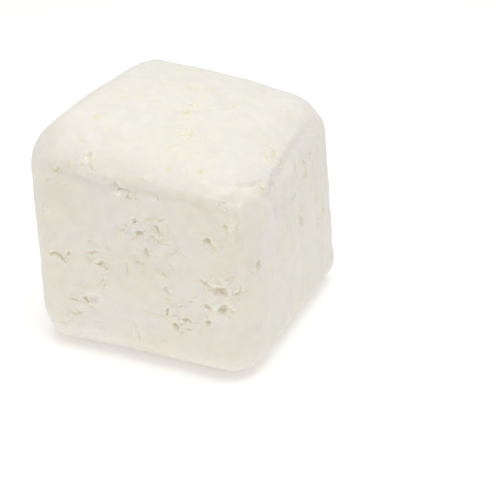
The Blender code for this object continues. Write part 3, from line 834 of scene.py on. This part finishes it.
def crumb_tree():
    """Geometry nodes that strew small uneven crumbs where the curd is loose."""
    tree, given = new_tree("curd crumbs", {
        "Smallest": 0.0003, "Largest": 0.0009, "Spacing": 0.0016, "Unevenness": 0.00025,
    }, {"Density": 30000.0, "Seed": 5})
    crumbly = add(tree, "GeometryNodeInputNamedAttribute", {"Name": "crumbly"}, data_type="FLOAT")
    share = add(tree, "ShaderNodeMapRange", {
        "Value": crumbly, "From Min": CRUMBS_FROM, "From Max": CRUMBS_TO,
    }, interpolation_type="SMOOTHSTEP")
    dots = add(tree, "GeometryNodeDistributePointsOnFaces", {
        "Mesh": given["Geometry"], "Distance Min": given["Spacing"],
        "Density Max": given["Density"], "Density Factor": share, "Seed": given["Seed"],
    }, distribute_method="POISSON")
    lump = add(tree, "GeometryNodeMeshCube", {
        "Size": (CRUMB_WIDTH,) * 3, "Vertices X": 3, "Vertices Y": 3, "Vertices Z": 3,
    })
    turn = add(tree, "FunctionNodeRandomValue", {
        "Max": (math.tau,) * 3, "Seed": given["Seed"],
    }, data_type="FLOAT_VECTOR")
    # inputs 2 and 3 are the least and the most of a plain number, and output 1 is that number
    size = add(tree, "FunctionNodeRandomValue", {
        2: given["Smallest"], 3: given["Largest"], "Seed": given["Seed"],
    }, data_type="FLOAT")
    strewn = add(tree, "GeometryNodeInstanceOnPoints", {
        "Points": dots.outputs["Points"], "Instance": lump.outputs["Mesh"],
        "Rotation": turn.outputs["Value"], "Scale": size.outputs[1],
    })
    real = add(tree, "GeometryNodeRealizeInstances", {"Geometry": strewn})
    uneven = add(tree, "ShaderNodeTexNoise", {"Scale": CRUMB_BUMPS, "Detail": 1.0}, noise_dimensions="3D")
    centred = add(tree, "ShaderNodeVectorMath", {
        0: uneven.outputs["Color"], 1: (NOISE_MIDDLE,) * 3,
    }, operation="SUBTRACT")
    push = add(tree, "ShaderNodeVectorMath", {
        "Vector": centred, "Scale": given["Unevenness"],
    }, operation="SCALE")
    moved = add(tree, "GeometryNodeSetPosition", {"Geometry": real, "Offset": push})
    painted = add(tree, "GeometryNodeSetMaterial", {"Geometry": moved, "Material": given["Material"]})
    add(tree, "NodeGroupOutput", {"Geometry": painted})
    return tree


def new_object(context, name, data):
    """An object with this data, in the scene."""
    item = bpy.data.objects.new(name, data)
    context.collection.objects.link(item)
    return item


def set_inputs(modifier, **values):
    """Sets a geometry nodes modifier's inputs, found by name and set by identifier."""
    for item in modifier.node_group.interface.items_tree:
        if item.item_type == "SOCKET" and item.in_out == "INPUT" and item.name in values:
            modifier[item.identifier] = values.pop(item.name)
    if values:
        raise KeyError(f"no such inputs: {sorted(values)}")


def curd_material(name, tones, light_depth, painted_shade_colour=None):
    """Brined curd, pressed in a cloth: a moist satin white that light sinks into.

    The scattering softens every edge, and painted shade in the gaps and seams turns them a warm yellow
    grey, standing in for their shade and warm bounce light. A light depth of 0 and no painted shade are
    for crumbs, which light leaves where it enters.
    """
    material = bpy.data.materials.new(name)
    material.use_nodes = True
    tree = material.node_tree
    shader = tree.nodes["Principled BSDF"]
    place = add(tree, "ShaderNodeTexCoord").outputs["Object"]

    broad, fine, grit = (
        add(tree, "ShaderNodeTexNoise", {"Vector": place, "Scale": 1 / spacing, "Detail": detail})
        for spacing, detail in ((PATCH_SIZE, 2.0), (MOTTLE_SIZE, 4.0), (GRIT_SIZE, 2.0))
    )
    patch = add(tree, "ShaderNodeMapRange", {"Value": broad, "From Min": 0.35, "From Max": 0.65})
    speck, rough = (
        add(tree, "ShaderNodeMapRange", {
            "Value": fine, "From Min": 0.3, "From Max": 0.7, "To Min": least, "To Max": most,
        })
        for least, most in (MOTTLE_TONE, MOTTLE_ROUGHNESS)
    )
    # inputs 6 and 7 of a colour mix are its two colours, and output 2 is the mixed one
    first, second = ((*colour, 1) for colour in tones)
    tone = add(tree, "ShaderNodeMix", {"Factor": patch, 6: first, 7: second}, data_type="RGBA")
    colour = add(tree, "ShaderNodeVectorMath", {
        "Vector": tone.outputs[2], "Scale": speck,
    }, operation="SCALE").outputs[0]
    # painted shade: gaps and seams are mixed towards a warm yellow grey where their shade and bounce
    # light fall
    if painted_shade_colour:
        painted_shade = add(tree, "ShaderNodeAttribute", attribute_name="painted_shade").outputs["Fac"]
        colour = add(tree, "ShaderNodeMix", {
            "Factor": painted_shade, 6: colour, 7: (*painted_shade_colour, 1),
        }, data_type="RGBA").outputs[2]
    bump = add(tree, "ShaderNodeBump", {"Height": grit, "Strength": 0.5, "Distance": GRIT_HEIGHT})
    tree.links.new(colour, shader.inputs["Base Color"])
    tree.links.new(rough.outputs[0], shader.inputs["Roughness"])
    tree.links.new(bump.outputs["Normal"], shader.inputs["Normal"])
    for name, value in {
        "IOR": CURD_IOR, "Subsurface Weight": 1.0 if light_depth else 0.0,
        "Subsurface Radius": LIGHT_SPREAD, "Subsurface Scale": light_depth,
    }.items():
        shader.inputs[name].default_value = value
    return material


def plain_mesh(item, name):
    """The object's mesh as its modifiers leave it, with the modifiers removed."""
    shown = item.evaluated_get(bpy.context.evaluated_depsgraph_get())
    mesh = bpy.data.meshes.new_from_object(
        shown, preserve_all_data_layers=True, depsgraph=bpy.context.evaluated_depsgraph_get(),
    )
    mesh.name = name
    item.modifiers.clear()
    return mesh


def settle(mesh):
    """Puts the mesh over the CAD block: on the floor, with the middle of its box at the same place."""
    places = np.empty(len(mesh.vertices) * 3)
    mesh.vertices.foreach_get("co", places)
    places = places.reshape(-1, 3)
    middle = np.array((BLOCK_LOW + BLOCK_HIGH) / 2.0)
    places[:, :2] += middle[:2] - (places[:, :2].min(axis=0) + places[:, :2].max(axis=0)) / 2.0
    places[:, 2] = np.maximum(places[:, 2], BLOCK_LOW.z)
    mesh.vertices.foreach_set("co", places.ravel())
    mesh.update()


COLOUR = {"size": 3, "subtype": "COLOR", "min": 0, "max": 1}


class CurdBlockSettings(bpy.types.PropertyGroup):
    """Sizes and colours of the block."""

    size: FloatVectorProperty(
        name="Pressed size", description="Size of the block before its faces swell",
        default=(0.099, 0.102, 0.091), size=3, subtype="XYZ", unit="LENGTH",
    )
    gap_depth: FloatProperty(
        name="Gap depth", description="Depth of the gaps, as a share of the depths listed",
        default=0.62, min=0.0, max=2.0, subtype="FACTOR",
    )
    curd_size: FloatProperty(
        name="Curd size", description="Width of one curd between its seams",
        default=0.0048, unit="LENGTH",
    )
    light_depth: FloatProperty(
        name="Light depth", description="How far light sinks into the curd",
        default=0.0030, unit="LENGTH",
    )
    seed: IntProperty(name="Seed", description="Draw of the lumps and scattered gaps", default=7)
    curd_colour: FloatVectorProperty(
        name="Curd", description="Colour of the pressed curd",
        default=srgb("EDE9E3"), **COLOUR,
    )
    warm_colour: FloatVectorProperty(
        name="Warm patches", description="Colour where the curd is denser",
        default=srgb("ECE8DE"), **COLOUR,
    )
    # painted shade: the warm yellow grey that gaps and seams are tinted towards
    painted_shade_colour: FloatVectorProperty(
        name="Painted shade", description="Colour deep in a gap",
        default=srgb("ECE7CC"), **COLOUR,
    )


class CrumbSettings(bpy.types.PropertyGroup):
    """Sizes of the crumbs."""

    smallest: FloatProperty(
        name="Smallest", description="Half width of a small crumb",
        default=0.00022, unit="LENGTH",
    )
    largest: FloatProperty(
        name="Largest", description="Half width of a large crumb",
        default=0.0006, unit="LENGTH",
    )
    spacing: FloatProperty(
        name="Spacing", description="Least distance between crumbs",
        default=0.0032, unit="LENGTH",
    )
    density: FloatProperty(
        name="Density", description="Crumbs for each square metre of loose curd",
        default=60000.0,
    )
    seed: IntProperty(name="Seed", description="Draw of the crumbs", default=5)
    # painted light: crumbs are coloured lighter than the block, in place of the light that scattering
    # gives the block and these crumbs, with none, lack
    colour: FloatVectorProperty(
        name="Crumb", description="Colour of a crumb, which is drier than the block",
        default=srgb("FCFAF4"), **COLOUR,
    )


class StageSettings(bpy.types.PropertyGroup):
    """Floor, light and camera."""

    floor_size: FloatProperty(
        name="Floor size", description="Side of the floor",
        default=6.0, unit="LENGTH",
    )
    floor_colour: FloatVectorProperty(
        name="Floor", description="Colour of the floor",
        default=srgb("F8F8F8"), **COLOUR,
    )
    sky: FloatProperty(
        name="Sky light", description="Strength of the white light from all round",
        default=0.46,
    )
    sky_colour: FloatVectorProperty(
        name="Sky", description="Colour of the light from all round",
        default=srgb("FFFBF5"), **COLOUR,
    )
    overhead: FloatProperty(
        name="Overhead light", description="Power of the soft light above",
        default=5.35,
    )
    overhead_colour: FloatVectorProperty(
        name="Overhead", description="Colour of the soft light above",
        default=srgb("F9FDFF"), **COLOUR,
    )
    card: FloatProperty(
        name="Warm card", description="Power of the card in front of the block",
        default=0.82,
    )
    card_colour: FloatVectorProperty(
        name="Card", description="Colour of the card in front of the block",
        default=srgb("FFEFD8"), **COLOUR,
    )
    floor_glow: FloatProperty(
        name="Floor glow", description="Light that comes up through the floor",
        default=0.25,
    )
    azimuth: FloatProperty(
        name="Azimuth", description="Turn of the view round the block",
        default=math.radians(23.5), subtype="ANGLE",
    )
    elevation: FloatProperty(
        name="Elevation", description="Height of the view above the floor",
        default=math.radians(29.5), subtype="ANGLE",
    )
    distance: FloatProperty(
        name="Distance", description="From the camera to its target",
        default=0.6367, unit="LENGTH",
    )
    target: FloatVectorProperty(
        name="Target", description="Place at the middle of the picture",
        default=(0.0368, -0.0184, 0.045), size=3, subtype="XYZ", unit="LENGTH",
    )
    lens: FloatProperty(
        name="Lens", description="Focal length in millimetres on a 36 mm sensor",
        default=115.2,
    )


class BRYNZA_OT_block(bpy.types.Operator):
    """Builds the block of cheese with its gaps, seams and grain"""

    bl_idname = "brynza.block"
    bl_label = "Cheese block"

    def execute(self, context):
        settings = context.scene.brynza_block
        cube = bpy.data.meshes.new("brynza_curd")
        corners = [tuple(side) for side in CORNER_SIDES]
        sides = [(0, 3, 2, 1), (4, 5, 6, 7), (0, 1, 5, 4), (1, 2, 6, 5), (2, 3, 7, 6), (3, 0, 4, 7)]
        cube.from_pydata(corners, [], sides)
        block = new_object(context, "brynza_curd", cube)
        fine = block.modifiers.new("grid", "SUBSURF")
        fine.subdivision_type = "SIMPLE"
        fine.levels = fine.render_levels = GRID_HALVINGS
        block.data = plain_mesh(block, "brynza_curd_grid")

        mesh = block.data
        unit = np.empty(len(mesh.vertices) * 3)
        mesh.vertices.foreach_get("co", unit)
        unit = unit.reshape(-1, 3)
        places, out = block_form(unit, np.array(settings.size) / MM)
        height, gap, crumbly, painted_shade = relief(places, out, settings)
        places += out * height[:, None]
        mesh.vertices.foreach_set("co", (places * MM).ravel())
        free = 1.0 - facing(-out[:, 2], UNDERSIDE_FACING)
        drag = facing(out[:, 0], DRAG_FACING)
        layers = {
            "gap": gap, "crumbly": crumbly, "painted_shade": painted_shade, "free": free, "drag": drag, "way_out": out,
        }
        for name, values in layers.items():
            kind, field = ("FLOAT", "value") if values.ndim == 1 else ("FLOAT_VECTOR", "vector")
            layer = mesh.attributes.new(name, kind, "POINT")
            layer.data.foreach_set(field, np.ascontiguousarray(values, dtype=np.float32).ravel())

        surface = curd_material(
            "pressed_brined_curd", (settings.curd_colour, settings.warm_colour),
            settings.light_depth, settings.painted_shade_colour,
        )
        finish = block.modifiers.new("relief", "NODES")
        finish.node_group = curd_relief_tree()
        set_inputs(finish, **{"Curd Size": settings.curd_size, "Material": surface})
        fewer = block.modifiers.new("fewer faces", "DECIMATE")
        fewer.ratio = SURFACE_TRIANGLES / (2.0 * len(mesh.polygons))
        fewer.use_collapse_triangulate = True
        block.data = plain_mesh(block, "brynza_curd")
        settle(block.data)
        block.data.shade_smooth()
        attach(block, "root")
        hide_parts("brynza_block")
        return {"FINISHED"}


class BRYNZA_OT_crumbs(bpy.types.Operator):
    """Strews small crumbs of curd round the gaps"""

    bl_idname = "brynza.crumbs"
    bl_label = "Curd crumbs"

    def execute(self, context):
        settings = context.scene.brynza_crumbs
        block = bpy.data.objects["brynza_curd"]
        crumbs = new_object(context, "curd_crumbs", block.data.copy())
        # the crumbs' lighter colour is painted light, standing in for the scattering they don't have
        surface = curd_material("loose_curd", (settings.colour, settings.colour), 0.0)
        strew = crumbs.modifiers.new("strew", "NODES")
        strew.node_group = crumb_tree()
        set_inputs(strew, **{
            "Smallest": settings.smallest, "Largest": settings.largest, "Spacing": settings.spacing,
            "Density": settings.density, "Seed": settings.seed, "Material": surface,
        })
        crumbs.data = plain_mesh(crumbs, "curd_crumbs")
        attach(crumbs, "root")
        return {"FINISHED"}


class BRYNZA_OT_stage(bpy.types.Operator):
    """Makes the white floor, the soft light and the camera"""

    bl_idname = "brynza.stage"
    bl_label = "Stage and camera"

    def execute(self, context):
        settings = context.scene.brynza_stage
        half = settings.floor_size / 2
        sheet = bpy.data.meshes.new("floor")
        corners = [(-half, -half, 0), (half, -half, 0), (half, half, 0), (-half, half, 0)]
        sheet.from_pydata(corners, [], [(0, 1, 2, 3)])
        floor = new_object(context, "floor", sheet)
        paper = bpy.data.materials.new("white_paper")
        paper.use_nodes = True
        shader = paper.node_tree.nodes["Principled BSDF"]
        colour = (*settings.floor_colour, 1)
        for name, value in {
            "Base Color": colour, "Roughness": 1.0, "Specular IOR Level": 0.0,
            "Emission Color": colour, "Emission Strength": settings.floor_glow,
        }.items():
            shader.inputs[name].default_value = value
        sheet.materials.append(paper)

        lamp = bpy.data.lights.new("overhead", "AREA")
        lamp.shape = "DISK"
        lamp.size = OVERHEAD_SIZE
        lamp.energy = settings.overhead
        lamp.color = settings.overhead_colour
        overhead = new_object(context, "overhead", lamp)
        overhead.location = OVERHEAD_PLACE

        glow = bpy.data.lights.new("warm_card", "AREA")
        glow.shape = "RECTANGLE"
        glow.size, glow.size_y = CARD_SIZE
        glow.energy = settings.card
        glow.color = settings.card_colour
        card = new_object(context, "warm_card", glow)
        card.location = CARD_PLACE
        away = Vector(CARD_PLACE) - Vector(CARD_FACES)
        card.rotation_euler = away.to_track_quat("Z", "Y").to_euler()

        world = bpy.data.worlds.new("light_tent")
        world.use_nodes = True
        light = world.node_tree.nodes["Background"]
        light.inputs["Color"].default_value = (*settings.sky_colour, 1)
        light.inputs["Strength"].default_value = settings.sky
        context.scene.world = world

        view = bpy.data.cameras.new("camera")
        view.lens = settings.lens
        view.sensor_width = SENSOR_WIDTH
        camera = new_object(context, "camera", view)
        level = math.cos(settings.elevation)
        back = Vector((
            math.sin(settings.azimuth) * level, -math.cos(settings.azimuth) * level,
            math.sin(settings.elevation),
        ))
        camera.location = Vector(settings.target) + back * settings.distance
        camera.rotation_euler = (-back).to_track_quat("-Z", "Y").to_euler()
        context.scene.camera = camera
        context.scene.view_settings.view_transform = "Standard"
        context.scene.view_settings.look = "None"
        return {"FINISHED"}


class BRYNZA_PT_panel(bpy.types.Panel):
    """Lists the block's settings and the steps that build it"""

    bl_idname = "BRYNZA_PT_panel"
    bl_label = "Brynza block"
    bl_space_type = "VIEW_3D"
    bl_region_type = "UI"
    bl_category = "Brynza"

    def draw(self, context):
        for group in GROUPS:
            box = self.layout.box()
            settings = getattr(context.scene, group)
            for name in settings.__annotations__:
                box.prop(settings, name)
            box.operator(group.replace("_", "."))


GROUPS = {
    "brynza_block": CurdBlockSettings, "brynza_crumbs": CrumbSettings, "brynza_stage": StageSettings,
}
CLASSES = (*GROUPS.values(), BRYNZA_OT_block, BRYNZA_OT_crumbs, BRYNZA_OT_stage, BRYNZA_PT_panel)


def register():
    for kind in CLASSES:
        bpy.utils.register_class(kind)
    for name, group in GROUPS.items():
        setattr(bpy.types.Scene, name, PointerProperty(type=group))


def unregister():
    for name in GROUPS:
        delattr(bpy.types.Scene, name)
    for kind in reversed(CLASSES):
        bpy.utils.unregister_class(kind)


def main():
    register()
    bpy.ops.brynza.block()
    bpy.ops.brynza.crumbs()
    bpy.ops.brynza.stage()


if __name__ == "__main__":
    main()
